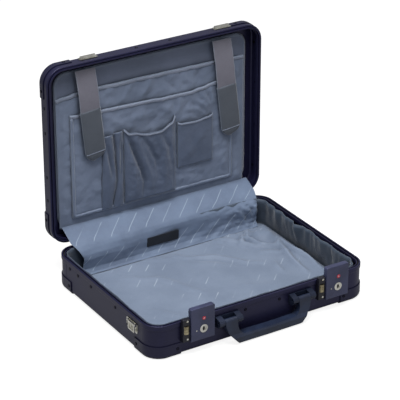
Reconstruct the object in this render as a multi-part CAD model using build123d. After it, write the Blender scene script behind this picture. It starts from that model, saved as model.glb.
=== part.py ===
from build123d import *
import os

# Aluminium attache case, standing open on a table: the base lies flat and the lid
# stands straight up behind it.  X runs along the front, -Y is the front with the
# handle and locks, +Y the hinge side, +Z up.  The pieces are drawn about the middle
# of the base, and are written about the middle of the open case's footprint, which
# lies further back.  The table is at Z = 0.  Millimetres.

os.makedirs("parts", exist_ok=True)

# ---- driving dimensions -------------------------------------------------------
case_w = 444.0            # outside of the frame walls, left to right
case_d = 339.0            # outside of the frame walls, front to back
corner_r = 32.0           # plan radius of the four case corners
base_h = 63.0             # base frame, bottom to rim
lid_h = 29.0              # lid frame, rim to outer panel
foot_drop = 2.0           # how far the corner guards stand below the frame
rim_z = foot_drop + base_h
origin_y = 7.75           # middle of the open case's footprint, from the base's middle

wall_t = 2.0              # extruded frame wall
edge_r = 6.0              # rounded edge between wall and panel
bead_h = 9.0              # rim band
bead_proud = 1.2
bead_r = 1.1
groove_w = 3.0            # closing groove behind the rim band
ridge_t = 1.6
ridge_drop = 0.8          # inner ridge stays this far under the rim plane
shelf_low = 7.5           # underside of the groove's floor, below the rim
shelf_t = 2.0
tongue_t = 1.6
tongue_reach = 3.0        # tongue of the lid, past the rim plane
seal_t = 1.4
lip_w = 14.0              # width of the frame's edge under the panel
panel_t = 1.2

guard_reach = 57.0        # corner guards, from the square corner
guard_proud = 1.8
guard_h_base = 25.0       # guard height above the table
guard_h_lid = 18.0
guard_lip = 13.0

axis_y = 176.0            # lid hinge axis
axis_z = 62.0
hinge_x = 130.0
hinge_w = 44.0
knuckle_r = 3.4
pin_r = 1.5
fit = 0.05                # radial running clearance
gap = 0.3                 # clearance between moving neighbours
touch = 0.05              # hairline gap between faces that only rest together

cloth_t = 1.5
lining_inset = 7.2
board_t = 1.5

handle_pivot_y = -181.5
handle_pivot_z = 45.0
handle_head_r = 5.2
handle_x = 2.0            # middle of the handle and its brackets
ear_out = (88.0, 99.0)
ear_in = (52.0, 63.0)
handle_pin_r = 2.0

lock_x = (-127.5, 150.0)  # middle of each lock cover
cover_w = 47.0
cover_low = 25.0
cover_top = 87.0
cover_front = -181.0
cover_t = 2.3
latch_y = -175.5          # latch hinge
latch_z = 29.0
latch_pin_r = 1.25
lug_r = 2.6               # rounded lugs that carry the latch pin
wheel_r = 5.2
wheel_h = 4.6
wheel_pitch = 5.0
wheel_z = 45.3            # middle of the lowest wheel
wheel_y = -176.3
wheel_dx = -31.5          # wheels, from the middle of the cover
key_dx = 1.0              # key, from the middle of the cover
key_z = 46.0
key_r = 6.2
reset_dx = -13.0
reset_z = 44.5
reset_r = 1.2

ring_y = -110.0           # strap ring, middle
ring_w = 21.0
ring_h = 16.5
ring_bar = 2.6
ring_z = 52.0             # ring hinge

rivet_r = 3.0
rivet_h = 0.9
shank_r = 1.6
tail = 0.8

half_w = case_w / 2
half_d = case_d / 2
SIDES = {"left": -1, "right": 1}
ENDS = {"front": -1, "back": 1}


# ---- helpers --------------------------------------------------------------------
def write(shape, name):
    """Export one node about the footprint's middle, as a flat compound of solids."""
    placed = Pos(0, -origin_y, 0) * Compound(children=list(shape.solids()))
    export_step(placed, "parts/" + name + ".step")


def slab(x, y, z):
    """A box from its low and high corners: each argument is a (low, high) pair."""
    size = [high - low for low, high in (x, y, z)]
    middle = [(high + low) / 2 for low, high in (x, y, z)]
    return Pos(*middle) * Box(*size)


def outline(inset, low, high):
    """The case's plan outline, inset, as a solid between two heights."""
    plan = RectangleRounded(case_w - 2 * inset, case_d - 2 * inset, corner_r - inset)
    return Pos(0, 0, low) * extrude(plan, high - low)


def ring(outer, inner, low, high):
    """A ring that follows the plan outline between two insets."""
    return outline(outer, low, high) - outline(inner, low - 1, high + 1)


def low_edges(shape):
    return shape.edges().group_by(Axis.Z)[0]


def along_x(points, low, high):
    """A YZ profile extruded along X."""
    profile = Plane.YZ * make_face(Polyline(*points, close=True))
    return Pos(low, 0, 0) * extrude(profile, high - low)


def rod(start, radius, length, axis):
    """A cylinder that starts at a point and runs along 'X', 'Y' or 'Z'."""
    turn = {"X": Rot(0, 90, 0), "Y": Rot(-90, 0, 0), "Z": Rot(0, 0, 0)}[axis]
    solid = Cylinder(radius, length, align=(Align.CENTER, Align.CENTER, Align.MIN))
    return Pos(*start) * turn * solid


def opened(shape):
    """Turn a lid piece from the closed place, where it is drawn, to the open one."""
    return Pos(0, axis_y, axis_z) * Rot(-90, 0, 0) * Pos(0, -axis_y, -axis_z) * shape


def closed_y(z):
    """The closed-lid Y of a height on the open lid."""
    return axis_y + axis_z - z


# ---- frames, panels and guards ---------------------------------------------------
def frame_half(height):
    """One extruded frame in its own frame: rim plane at 0, outer panel below."""
    outer = outline(0, -height, 0)
    outer = fillet(low_edges(outer), edge_r)
    inner = outline(wall_t, -height + wall_t, 1)
    inner = fillet(low_edges(inner), edge_r - wall_t)
    window = outline(lip_w, -height - 1, -height + wall_t + 1)
    band = outline(-bead_proud, -bead_h, 0)
    band = fillet(band.edges().group_by(Axis.Z)[0] + band.edges().group_by(Axis.Z)[-1], bead_r)
    band -= outline(wall_t, -bead_h - 1, 1)
    ridge_out = wall_t + groove_w
    ridge_in = ridge_out + ridge_t
    shelf = ring(wall_t - touch, ridge_in, -shelf_low, -shelf_low + shelf_t)
    ridge = ring(ridge_out, ridge_in, -shelf_low, -ridge_drop)
    return outer - inner - window + band + shelf + ridge


def tongue():
    """The lid's tongue: it drops into the middle of the base's groove."""
    outer = wall_t + (groove_w - tongue_t) / 2
    return ring(outer, outer + tongue_t, -shelf_low + touch, tongue_reach)


def panel(height):
    """The sheet that lies on the frame's lip, inside."""
    low = -height + wall_t + touch
    return outline(edge_r + 1, low, low + panel_t)


def guard_ring(height, guard_h):
    """All four corner guards of one half, before they are cut apart."""
    low = -height - foot_drop
    outer = outline(-guard_proud, low, low + guard_h)
    outer = fillet(low_edges(outer), edge_r + guard_proud)
    inner = outline(-touch, -height - touch, low + guard_h + 1)
    inner = fillet(low_edges(inner), edge_r)
    window = outline(guard_lip, low - 1, -height + 1)
    return outer - inner - window


def corner_box(side, end, reach=guard_reach):
    """The square region of one corner."""
    box = slab((0, reach), (0, reach), (-100, 100))
    return Pos(side * (half_w - reach / 2) - reach / 2, end * (half_d - reach / 2) - reach / 2, 0) * box


def guards(height, guard_h):
    """The four corner guards by name."""
    whole = guard_ring(height, guard_h)
    wide = guard_reach + 5
    cut = {}
    for end_name, end in ENDS.items():
        for side_name, side in SIDES.items():
            shift = Pos(side * 5, end * 5, 0)
            cut[end_name + "_" + side_name] = whole & (shift * corner_box(side, end, wide))
    return cut


# ---- rivets -----------------------------------------------------------------------
def rivet(x, y, z, stack, proud=0.0):
    """A rivet through a wall: the wall is the nearest side of the case.

    stack is the thickness it grips, proud how far the gripped piece stands out."""
    if half_w - abs(x) < half_d - abs(y):
        side = 1 if x > 0 else -1
        turn = Rot(0, 90 * side, 0)
        place = Pos(side * (half_w + proud), y, z)
    else:
        side = 1 if y > 0 else -1
        turn = Rot(-90 * side, 0, 0)
        place = Pos(x, side * (half_d + proud), z)
    head = Pos(0, 0, touch) * extrude(Circle(rivet_r), rivet_h)
    head = chamfer(head.edges().group_by(Axis.Z)[-1], rivet_h / 2)
    shank = Pos(0, 0, -stack - tail) * extrude(Circle(shank_r), stack + tail + 2 * touch)
    foot = Pos(0, 0, -stack - tail) * extrude(Circle(shank_r + 0.7), tail - touch)
    return place * turn * (head + shank + foot)


def rivet_hole(x, y, z):
    """The hole for a rivet, long enough for any stack."""
    if half_w - abs(x) < half_d - abs(y):
        start = (half_w - 6, y, z) if x > 0 else (-half_w - 6, y, z)
        return rod(start, shank_r + fit, 12, "X")
    start = (x, half_d - 6, z) if y > 0 else (x, -half_d - 6, z)
    return rod(start, shank_r + fit, 12, "Y")


base_rivet_in = 50.0      # guard rivets, from the square corner
lid_rivet_in = 44.0
guard_mid_base = 15.0
guard_mid_lid = 85.0


def guard_spots(z, inset):
    """Where the guards' rivets go: two at each corner."""
    spots = []
    for side in SIDES.values():
        for end in ENDS.values():
            spots.append((side * half_w, end * (half_d - inset), z))
            spots.append((side * (half_w - inset), end * half_d, z))
    return spots


side_rivets_base = [(117.0, 49.5), (87.0, 49.5), (40.0, 49.5), (-46.0, 49.5)]
side_rivets_lid = [closed_y(z + foot_drop) for z in (330.6, 283.0, 197.0, 151.5)]
front_rivet_x = 35.0
lid_rivet_z = 78.5
wall_spots_base = [(side * half_w, y, z) for side in SIDES.values() for y, z in side_rivets_base]
wall_spots_base += [(side * front_rivet_x, -half_d, 49.0) for side in SIDES.values()]
wall_spots_lid = [(side * half_w, y, lid_rivet_z) for side in SIDES.values() for y in side_rivets_lid]
wall_spots_lid += [(side * front_rivet_x, -half_d, lid_rivet_z) for side in SIDES.values()]

leaf_t = 1.6
leaf_rivet_dx = 15.0
leaf_base_z = 41.0
leaf_lid_z = 84.0
leaf_spots_base = []
leaf_spots_lid = []
for side in SIDES.values():
    for step in (-leaf_rivet_dx, leaf_rivet_dx):
        leaf_spots_base.append((side * hinge_x + step, half_d, leaf_base_z))
        leaf_spots_lid.append((side * hinge_x + step, half_d, leaf_lid_z))

lug_t = 1.5
lug_rivet_dy = 17.8
lug_spots = [(side * half_w, ring_y + lug_rivet_dy, z) for side in SIDES.values() for z in (40.0, 47.5)]


# ---- hinges -----------------------------------------------------------------------
def knuckle(x_low, x_high):
    return rod((x_low, axis_y, axis_z), knuckle_r, x_high - x_low, "X")


def hinge(side):
    """Base leaf, closed lid leaf and pin of one hinge."""
    middle = side * hinge_x
    low = middle - hinge_w / 2
    high = middle + hinge_w / 2
    third = hinge_w / 3
    face = half_d + touch
    base_plate = slab((low, high), (face, face + leaf_t), (34, 54))
    web = [(face, 48), (face + leaf_t, 48), (179.2, 60.5), (176, 62), (173.0, 60.5), (171.5, 55), (face, 55)]
    base_leaf = base_plate
    for start in (low, high - third):
        base_leaf += along_x(web, start, start + third) + knuckle(start, start + third)
    lid_plate = slab((low, high), (face, face + leaf_t), (76, 90))
    lid_web = [
        (face, 76), (171.8, 76), (172.8, 63), (176, 62), (179.2, 63), (178.6, 68), (171.0, 84), (face, 84)]
    inner = (low + third + gap, high - third - gap)
    lid_leaf = lid_plate + along_x(lid_web, *inner) + knuckle(*inner)
    bore = rod((low - 1, axis_y, axis_z), pin_r + fit, hinge_w + 2, "X")
    pin = rod((low, axis_y, axis_z), pin_r, hinge_w, "X")
    return base_leaf - bore, lid_leaf - bore, pin


# ---- handle -----------------------------------------------------------------------
def handle_bracket(side):
    """Back plate with two ears that carry one leg of the handle."""
    back = -half_d - touch
    low, high = sorted((side * ear_in[0], side * ear_out[1]))
    plate = slab((low, high), (back - 2.0, back), (34, 53))
    ear = [
        (back - 1, 53), (back - 2.0, 53), (-184.6, 49.6), (-186.6, 46), (-186.6, 42), (-181, 36), (back - 1, 34)]
    shape = plate
    for edges in (ear_in, ear_out):
        start, stop = sorted((side * edges[0], side * edges[1]))
        shape += along_x(ear, start, stop)
    bore = rod((low - 1, handle_pivot_y, handle_pivot_z), handle_pin_r + fit, high - low + 2, "X")
    return shape - bore


def handle_pin(side):
    low, high = sorted((side * (ear_in[0] + 3), side * (ear_out[1] - 3)))
    return rod((low, handle_pivot_y, handle_pivot_z), handle_pin_r, high - low, "X")


leg_in = ear_in[1] + 0.5
leg_out = ear_out[0] - 0.5
leg_low = 33.0            # under the ears the legs lean inwards
grip_low = 1.8
grip_top = 18.5


def handle():
    """Two legs and a straight grip, hanging, cut from a front view and a side view."""
    top = handle_pivot_z + handle_head_r + 1
    bow = 1.2
    half = [
        (leg_in, top), (leg_out, top), (leg_out, 38), (leg_out - 5, 24), (leg_out - 24, grip_low),
        (0, grip_low - bow), (0, grip_top - bow), (leg_in - 9, grip_top), (leg_in - 2, grip_top + 7),
        (leg_in, leg_low)]
    view = make_face(Polyline(*half, close=True))
    corners = view.vertices().filter_by(lambda corner: corner.X > 1 and corner.Y < leg_low - 2)
    view = fillet(corners, 4.0)
    view = Plane.XZ * (view + mirror(view, Plane.YZ))
    front_view = Pos(0, -160, 0) * extrude(view, 60)
    head = rod((-100, handle_pivot_y, handle_pivot_z), handle_head_r, 200, "X")
    section = [
        (-176.4, 44), (-177.4, 36), (-178.2, 22), (-177.2, 16), (-177.2, 5), (-181.5, 0),
        (-190, 0), (-194.5, 4.5), (-194.5, 14.5), (-190.6, 20.5), (-188.2, 34), (-186.65, 46)]
    side_view = along_x(section, -100, 100) + head
    bore = rod((-100, handle_pivot_y, handle_pivot_z), handle_pin_r + fit, 200, "X")
    return (front_view & side_view) - bore


# ---- locks ------------------------------------------------------------------------
def lock_cover(x):
    """Cap-shaped cover with the hook at its top, hinged at the bottom."""
    low = x - cover_w / 2
    high = x + cover_w / 2
    rear = -half_d - bead_proud - 0.9
    block = slab((low, high), (cover_front, rear), (cover_low, cover_top))
    block = fillet(block.edges().filter_by(Axis.Y).group_by(Axis.Z)[-1], 3)
    block = fillet(block.edges().group_by(Axis.Y)[0], 1.2)
    depth = (cover_front + cover_t, rear + 1)
    hollow = slab((low + cover_t, high - cover_t), depth, (cover_low - 1, cover_top - 2.4))
    trim = slab((high - cover_t - 1, high + 1), depth, (rim_z + 3, cover_top - 2.4))
    pivot = rod((low - 1, latch_y, latch_z), latch_pin_r + fit, cover_w + 2, "X")
    key_bore = rod((x + key_dx, cover_front - 1, key_z), key_r + fit, 6, "Y")
    reset_bore = rod((x + reset_dx, cover_front - 1, reset_z), reset_r + fit, 6, "Y")
    return block - hollow - trim - pivot - key_bore - reset_bore


def lock_chassis(x):
    """Back plate with two hinge lugs and, on its left, the housing of the wheels."""
    wheel_x = x + wheel_dx
    back = -half_d - touch
    inner = cover_w / 2 - cover_t - gap
    plate = slab((x - inner, x + inner), (back - 1.6, back), (cover_low + 1, rim_z - bead_h - 1))
    shape = plate
    for side in (-1, 1):
        start, stop = sorted((x + side * inner, x + side * (inner - 3)))
        shape += slab((start, stop), (latch_y, back - 1), (latch_z - lug_r, latch_z + lug_r))
        shape += rod((start, latch_y, latch_z), lug_r, stop - start, "X")
    shape -= rod((x - cover_w, latch_y, latch_z), latch_pin_r + fit, 2 * cover_w, "X")
    stack_low = wheel_z - wheel_pitch / 2
    stack_high = stack_low + 3 * wheel_pitch
    housing = slab((wheel_x - 6.8, wheel_x + 6.8), (-178.4, back), (27, rim_z - bead_h - 0.6))
    nose = slab((wheel_x - 6.8, wheel_x + 6.8), (-178.4, -half_d - bead_proud - 0.9), (50, 70))
    housing = fillet((housing + nose).edges().group_by(Axis.Y)[0], 1.5)
    pocket = rod((wheel_x, wheel_y, stack_low - 0.1), wheel_r + gap, stack_high - stack_low + 0.2, "Z")
    mouth = slab((wheel_x - 4, wheel_x + 4), (-182, wheel_y), (stack_low - 0.1, stack_high + 0.1))
    axle_hole = rod((wheel_x, wheel_y, stack_low - 4), latch_pin_r + fit, stack_high - stack_low + 8, "Z")
    strut = slab((wheel_x, x - inner + 1), (back - 1.4, back), (32, 52))
    return (shape + strut + housing) - pocket - mouth - axle_hole


def wheel_axle(x):
    start = wheel_z - wheel_pitch / 2 - 3.5
    return rod((x + wheel_dx, wheel_y, start), latch_pin_r, 3 * wheel_pitch + 7, "Z")


def number_wheel(x, index):
    """A numbered wheel with ten finger notches."""
    low = wheel_z + index * wheel_pitch - wheel_h / 2
    place = Pos(x + wheel_dx, wheel_y, low)
    disc = extrude(Circle(wheel_r) - Circle(latch_pin_r + fit), wheel_h)
    notch = Pos(wheel_r + 0.7, 0, -1) * extrude(Circle(1.1), wheel_h + 2)
    for turn in range(10):
        disc -= Rot(0, 0, turn * 36) * notch
    return place * disc


def latch_pin(x):
    return rod((x - cover_w / 2 + 0.4, latch_y, latch_z), latch_pin_r, cover_w - 0.8, "X")


def key_cylinder(x):
    """A plug with a raised ring and a key slot, running in the cover."""
    barrel = rod((0, cover_front - 0.2, key_z), key_r, 4.4, "Y")
    flange = rod((0, cover_front - 0.8, key_z), key_r + 1.4, 0.8 - touch, "Y")
    dish = rod((0, cover_front - 2, key_z), 4.4, 1.9, "Y")
    slot = slab((-0.6, 0.6), (cover_front - 2, cover_front + 2.6), (key_z - 2.8, key_z + 2.8))
    return Pos(x + key_dx, 0, 0) * (barrel + flange - dish - slot)


def reset_button(x):
    """The small recessed button that sets the number."""
    return rod((x + reset_dx, cover_front - 0.2, reset_z), reset_r, 2.0, "Y")


def lid_catch(x):
    """Chrome strike plate with the beak that the cover's hook holds, drawn closed."""
    face = -half_d - touch
    plate = slab((x - 18, x + 18), (face - 1.7, face), (75.5, 87))
    plate = fillet(plate.edges().filter_by(Axis.Y), 2.5)
    beak = [(face - 1, 79), (face - 2, 79), (face - 5.4, 82.4), (face - 5.4, 84.1), (face - 1, 84.1)]
    return plate + along_x(beak, x - 15, x + 15)


# ---- strap rings ------------------------------------------------------------------
def strap_lug(side):
    """Riveted plate with the two knuckles of the strap ring."""
    wall = side * (half_w + touch)
    outer = side * (half_w + touch + lug_t)
    plate = slab(tuple(sorted((wall, outer))), (ring_y - 14.6, ring_y + 21.6), (35.5, 54.5))
    plate = fillet(plate.edges().filter_by(Axis.X), 3)
    bar_x = side * (half_w + 4.2)
    knuckle_x = tuple(sorted((wall, bar_x)))
    shape = plate
    for dy in (-ring_w / 2 - 3.3, ring_w / 2 + 0.3):
        start = ring_y + dy
        shape += slab(knuckle_x, (start, start + 3), (ring_z - 2.2, ring_z + 2.2))
        shape += rod((bar_x, start, ring_z), 2.2, 3, "Y")
    return shape - rod((bar_x, ring_y - 30, ring_z), 1.25 + fit, 60, "Y")


def strap_ring(side):
    """Square ring that hangs flat beside the wall, with its two stub axles."""
    bar_x = side * (half_w + 4.2)
    thick = (bar_x - ring_bar / 2, bar_x + ring_bar / 2)
    wide = (ring_y - ring_w / 2, ring_y + ring_w / 2)
    tall = (ring_z - ring_h + ring_bar / 2, ring_z + ring_bar / 2)
    block = fillet(slab(thick, wide, tall).edges().filter_by(Axis.X), 1.0)
    window = slab((thick[0] - 1, thick[1] + 1), (wide[0] + ring_bar, wide[1] - ring_bar),
                  (tall[0] + ring_bar, tall[1] - ring_bar))
    axle = rod((bar_x, wide[0] - 3.3, ring_z), 1.25, ring_w + 6.6, "Y")
    core = slab((bar_x - 1.0, bar_x + 1.0), (wide[0], wide[1]), (ring_z - 1, ring_z + 1))
    return (block - window) + axle + core


# ---- linings and pockets ----------------------------------------------------------
def base_lining():
    """Cloth tub: floor and four walls."""
    floor = foot_drop + wall_t + panel_t + board_t + 0.5
    outer = outline(lining_inset, floor, rim_z - 1.2)
    inner = outline(lining_inset + cloth_t, floor + cloth_t, rim_z + 1)
    return outer - inner


gusset_half = 188.0
gusset_t = 1.4
fold_y = 146.0            # where the gusset meets the floor
bend_y = 156.2            # where it turns up
bend_z = 24.0
head_y = 159.0            # at the back rim
cloth_floor = foot_drop + wall_t + panel_t + board_t + 0.5 + cloth_t + 0.3


def gusset_base():
    """Lower half of the hinge gusset: down the back wall, then forward to the floor."""
    front = [(head_y, rim_z - 3), (bend_y, bend_z), (fold_y, cloth_floor)]
    back = [(y + gusset_t, z) for y, z in reversed(front)]
    return along_x(front + back, -gusset_half, gusset_half)


def gusset_lid():
    """Upper half of the gusset on the open lid, over the gap at the hinge."""
    points = [(180.6, 77), (182.2, 76.4), (187.6, 88), (187.6, 91)]
    return along_x(points, -gusset_half, gusset_half)


def label():
    """Blank label on the upright part of the gusset, leaning like it."""
    slope = (head_y - bend_y) / (rim_z - 3 - bend_z)
    low, high = (25.0, 45.0)
    y_low, y_high = [bend_y + (z - bend_z) * slope - touch for z in (low, high)]
    points = [(y_low, low), (y_high, high), (y_high - 0.8, high), (y_low - 0.8, low)]
    return along_x(points, -42, 26)


def lid_sheet(x, z, depth, radius=4.0):
    """A flat piece on the open lid: x and z are ranges there, depth its closed heights."""
    y = (closed_y(z[1]), closed_y(z[0]))
    block = slab(x, y, depth)
    return fillet(block.edges().filter_by(Axis.Z), radius)


def strap(x_top, z_top, x_low, z_low, width, depth):
    """A hanging strap with a rounded end, leaning a little."""
    half = width / 2
    end = (x_low + half - 9, x_low - half + 9)
    corners = [
        (x_top - half, z_top), (x_top + half, z_top), (x_low + half, z_low + 8),
        (end[0], z_low), (end[1], z_low), (x_low - half, z_low + 8)]
    plan = Polyline(*[(x, closed_y(z)) for x, z in corners], close=True)
    return Pos(0, 0, depth[0]) * extrude(make_face(plan), depth[1] - depth[0])


# ---- the base ---------------------------------------------------------------------
at_rim = Pos(0, 0, rim_z)
seam = slab((-half_w - 1, -half_w + 0.7), (128.6, 129.4), (24, 53))
base_guards = guards(base_h, guard_h_base)
base_guard_spots = guard_spots(guard_mid_base, base_rivet_in)
base_frame = at_rim * frame_half(base_h) - seam
for spot in base_guard_spots + wall_spots_base + leaf_spots_base + lug_spots:
    base_frame -= rivet_hole(*spot)
write(base_frame, "base_frame")
write(at_rim * panel(base_h), "base_panel")
board_low = foot_drop + wall_t + panel_t + 0.2
write(outline(lining_inset + 1, board_low, board_low + board_t), "base_floor_board")
write(base_lining(), "base_lining")
seal_low = -shelf_low + shelf_t
seal = ring(wall_t + gap, wall_t + groove_w - gap, seal_low + touch, seal_low + seal_t)
write(at_rim * seal, "rim_seal")
for name, shape in base_guards.items():
    placed = at_rim * shape
    for spot in base_guard_spots:
        placed -= rivet_hole(*spot)
    write(placed, "base_guard_" + name)
splice = slab((-half_w + wall_t + touch, -half_w + wall_t + 1.2), (82, 136), (24, 54))
for spot in wall_spots_base:
    splice -= rivet_hole(*spot)
write(splice, "frame_splice")
write(gusset_base(), "gusset_base")
write(label(), "label")

base_rivets = []
for spot in base_guard_spots:
    base_rivets.append(rivet(*spot, stack=wall_t + guard_proud, proud=guard_proud))
for spot in wall_spots_base:
    deeper = 1.3 if spot[0] < 0 and 82 < spot[1] < 136 else 0.0
    base_rivets.append(rivet(*spot, stack=wall_t + deeper))
for spot in leaf_spots_base:
    base_rivets.append(rivet(*spot, stack=wall_t + leaf_t + touch, proud=leaf_t + touch))
for spot in lug_spots:
    base_rivets.append(rivet(*spot, stack=wall_t + lug_t + touch, proud=lug_t + touch))
write(Compound(children=base_rivets), "base_rivets")

# ---- the lid ----------------------------------------------------------------------
turned = at_rim * Rot(180, 0, 0)
lid_guard_spots = guard_spots(guard_mid_lid, lid_rivet_in)
lid_frame = turned * (frame_half(lid_h) + tongue())
for spot in lid_guard_spots + wall_spots_lid + leaf_spots_lid:
    lid_frame -= rivet_hole(*spot)
write(opened(lid_frame), "lid_frame")
write(opened(turned * panel(lid_h)), "lid_panel")
for name, shape in guards(lid_h, guard_h_lid).items():
    # the turn swaps front and back, so the names are swapped too
    end_name, side_name = name.split("_")
    real_end = {"front": "back", "back": "front"}[end_name]
    placed = turned * shape
    for spot in lid_guard_spots:
        placed -= rivet_hole(*spot)
    write(opened(placed), "lid_guard_" + real_end + "_" + side_name)
lid_rivets = []
for spot in lid_guard_spots:
    lid_rivets.append(opened(rivet(*spot, stack=wall_t + guard_proud, proud=guard_proud)))
for spot in wall_spots_lid:
    lid_rivets.append(opened(rivet(*spot, stack=wall_t)))
for spot in leaf_spots_lid:
    lid_rivets.append(opened(rivet(*spot, stack=wall_t + leaf_t + touch, proud=leaf_t + touch)))
write(Compound(children=lid_rivets), "lid_rivets")

lid_sheets = {
    "organiser_board": ((-199, 203), (85, 388), (86, 89.5), 24.0),
    "file_pocket": ((-197, 197), (86, 347), (83.7, 85.7), 4.0),
    "panel_pocket": ((-171, 171), (102, 301), (80.2, 83.4), 4.0),
    "pleated_pocket": ((-56, 39), (105, 248), (73.6, 79.9), 3.0),
    "flat_pocket": ((49, 126), (150, 246), (76.6, 79.9), 3.0),
}
for name, (x, z, depth, radius) in lid_sheets.items():
    write(opened(lid_sheet(x, z, depth, radius)), name)
pens = [lid_sheet((low, low + 20), (105, 258), (76.6, 79.9), 3.0) for low in (-104, -81)]
write(Compound(children=[opened(pen) for pen in pens]), "pen_pockets")
write(opened(strap(-143, 391, -126, 219, 38, (72.6, 74.6))), "strap_left")
write(opened(strap(138.5, 388, 163, 197, 38, (72.6, 74.6))), "strap_right")
write(gusset_lid(), "gusset_lid")

# ---- hinges, handle, locks, rings -------------------------------------------------
pins = []
for side_name, side in SIDES.items():
    base_leaf, lid_leaf, pin = hinge(side)
    for spot in leaf_spots_base:
        base_leaf -= rivet_hole(*spot)
    for spot in leaf_spots_lid:
        lid_leaf -= rivet_hole(*spot)
    write(base_leaf, "hinge_leaf_base_" + side_name)
    write(opened(lid_leaf), "hinge_leaf_lid_" + side_name)
    pins.append(pin)
write(Compound(children=pins), "hinge_pins")

for side_name, side in SIDES.items():
    write(Pos(handle_x, 0, 0) * handle_bracket(side), "handle_bracket_" + side_name)
handle_pins = [handle_pin(side) for side in SIDES.values()]
write(Pos(handle_x, 0, 0) * Compound(children=handle_pins), "handle_pins")
write(Pos(handle_x, 0, 0) * handle(), "handle")

for side_name, x in zip(SIDES, lock_x):
    write(lock_chassis(x), "lock_chassis_" + side_name)
    write(lock_cover(x), "lock_cover_" + side_name)
    write(key_cylinder(x), "key_cylinder_" + side_name)
    write(reset_button(x), "reset_button_" + side_name)
    write(opened(lid_catch(x - 4)), "lid_catch_" + side_name)
    for index in range(3):
        write(number_wheel(x, index), "number_wheel_" + side_name + "_" + str(index + 1))
write(Compound(children=[latch_pin(x) for x in lock_x]), "latch_pins")
write(Compound(children=[wheel_axle(x) for x in lock_x]), "wheel_axles")

for side_name, side in SIDES.items():
    lug = strap_lug(side)
    for spot in lug_spots:
        lug -= rivet_hole(*spot)
    write(lug, "strap_lug_" + side_name)
    write(strap_ring(side), "strap_ring_" + side_name)
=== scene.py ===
# %% [markdown]
# # An aluminium attache case, standing open
# The hard parts of this case (frames, guards, rivets, locks, handle) come as a fixed
# frame of CAD nodes. Here they get their finishes, and the soft parts (linings,
# pockets, hinge gusset, straps) are made as cloth, in the places that the CAD keeps
# for them. All lengths are in metres, and a helper lets the cells speak in millimetres.

# %% Load the fixed frame
import bpy
import bmesh
import math
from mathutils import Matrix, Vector, noise


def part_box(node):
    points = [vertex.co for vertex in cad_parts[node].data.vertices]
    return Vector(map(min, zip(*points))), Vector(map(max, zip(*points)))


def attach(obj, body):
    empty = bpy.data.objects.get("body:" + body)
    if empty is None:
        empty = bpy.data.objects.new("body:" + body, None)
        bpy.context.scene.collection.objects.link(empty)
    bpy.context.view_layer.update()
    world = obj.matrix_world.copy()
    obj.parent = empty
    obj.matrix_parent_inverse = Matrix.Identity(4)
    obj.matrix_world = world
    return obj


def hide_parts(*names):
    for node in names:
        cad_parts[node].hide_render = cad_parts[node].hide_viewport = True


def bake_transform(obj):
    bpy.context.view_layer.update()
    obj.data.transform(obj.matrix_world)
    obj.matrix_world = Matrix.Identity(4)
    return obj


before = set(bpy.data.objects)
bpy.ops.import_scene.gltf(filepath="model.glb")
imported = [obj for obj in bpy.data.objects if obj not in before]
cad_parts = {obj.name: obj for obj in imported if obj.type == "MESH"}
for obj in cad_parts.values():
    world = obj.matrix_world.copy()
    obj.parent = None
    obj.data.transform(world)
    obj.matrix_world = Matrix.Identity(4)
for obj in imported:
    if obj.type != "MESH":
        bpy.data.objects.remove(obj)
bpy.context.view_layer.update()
for plain in list(bpy.data.materials):
    bpy.data.materials.remove(plain)

# %% [markdown]
# Places are easier to read in millimetres, measured from the middle of the base and
# from the table: X to the right, Y to the back, Z up.

# %% Millimetres about the middle of the base
base_low, base_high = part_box("base_frame")
middle = (base_low + base_high) / 2


def at(x, y, z):
    """A point in millimetres from the middle of the base, and from the table."""
    return Vector((middle.x + x / 1000, middle.y + y / 1000, z / 1000))


def span(node):
    """A CAD node's box in the same millimetres: (x low, x high), (y ...), (z ...)."""
    low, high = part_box(node)
    low, high = low - Vector((middle.x, middle.y, 0)), high - Vector((middle.x, middle.y, 0))
    return [(a * 1000, b * 1000) for a, b in zip(low, high)]


def clip(value):
    """The value kept between 0 and 1."""
    return min(max(value, 0), 1)


def placed(name, bm, material):
    """An object made from a finished bmesh, wearing one material."""
    made = bpy.data.meshes.new(name)
    bm.to_mesh(made)
    bm.free()
    piece = bpy.data.objects.new(name, made)
    bpy.context.scene.collection.objects.link(piece)
    made.materials.append(material)
    return piece


print("base frame:", [tuple(round(v, 1) for v in pair) for pair in span("base_frame")])

# %% [markdown]
# ## Camera and light
# A product shot: a long lens from the front left, a little above, and big soft lights.
# A pale floor is added at the end. The camera comes first, because every look is judged from it.

# %% Camera
turn, rise, distance = math.radians(-31.88), math.radians(26.33), 3.366
away = Vector((math.sin(turn) * math.cos(rise), -math.cos(turn) * math.cos(rise), math.sin(rise)))
camera = bpy.data.objects.new("camera", bpy.data.cameras.new("camera"))
bpy.context.scene.collection.objects.link(camera)
camera.location = at(-21.5, 0, 183.6) + away * distance
camera.rotation_mode = "QUATERNION"
camera.rotation_quaternion = (-away).to_track_quat("-Z", "Y")
camera.data.lens = 172.8
camera.data.sensor_width = 36
bpy.context.scene.camera = camera
bpy.context.scene.view_settings.view_transform = "Standard"
print("camera at", [round(c, 3) for c in camera.location])

# %% Soft light
light_aim = Vector((0, 0, 0.15))


def softbox(name, place, size, power):
    """A big square area light that faces the case."""
    lamp = bpy.data.lights.new(name, "AREA")
    lamp.size, lamp.energy = size, power
    held = bpy.data.objects.new(name, lamp)
    held.location = place
    held.rotation_mode = "QUATERNION"
    held.rotation_quaternion = (Vector(place) - light_aim).to_track_quat("Z", "Y")
    bpy.context.scene.collection.objects.link(held)


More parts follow.
